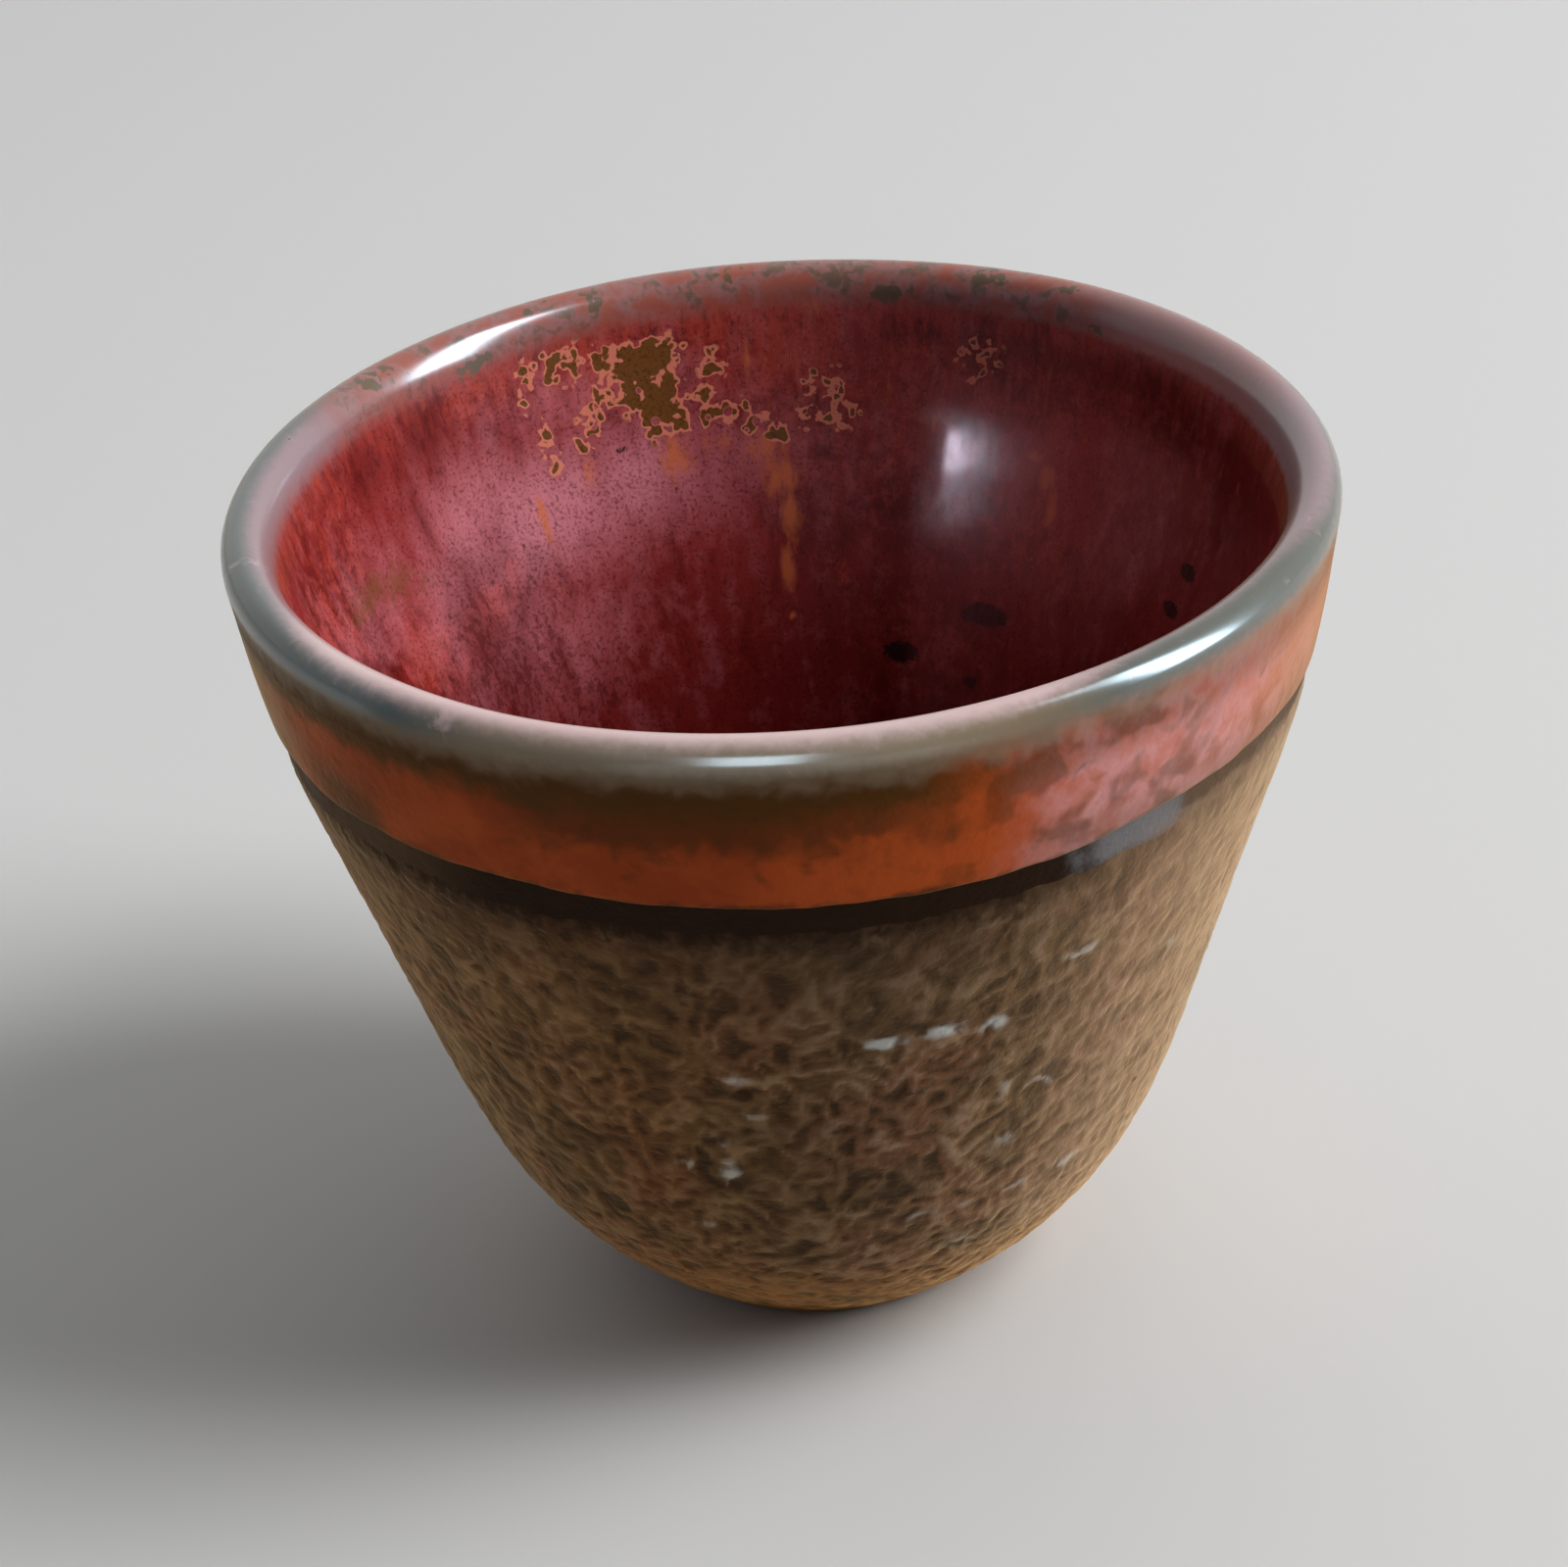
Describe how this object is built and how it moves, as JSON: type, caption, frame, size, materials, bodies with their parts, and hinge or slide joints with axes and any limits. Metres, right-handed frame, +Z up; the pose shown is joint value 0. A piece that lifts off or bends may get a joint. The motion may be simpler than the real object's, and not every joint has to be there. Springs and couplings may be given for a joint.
{
  "type": "ceramic tea bowl",
  "caption": "Hand-thrown stoneware tea bowl: deep round well, rounded lip, tapering wall on a small flat base, glazed inside and round the rim, rough slip outside.",
  "frame": {"origin": "middle of the flat base, on the surface that the bowl stands on", "axes": "+Z up along the bowl's axis of turning; +X to the right and +Y away, seen from the picture's side"},
  "size_m": [0.105, 0.105, 0.086],
  "materials": {
    "fired_clay": "bare toasted stoneware, dry",
    "rough_slip": "dry brown slip with a wrinkled relief",
    "iron_wash": "satin dark brown",
    "band_glaze": "glossy mottled orange red",
    "lip_glaze": "glossy grey green, breaking to pink and brown",
    "red_glaze": "glossy wine red with streaks and patches"
  },
  "bodies": {
    "root": {"clay_body": "fired_clay", "textured_slip_coat": "rough_slip", "iron_line": "iron_wash", "outer_glaze_band": "band_glaze", "rim_glaze": "lip_glaze", "well_glaze_liner": "red_glaze"}
  },
  "joints": []
}
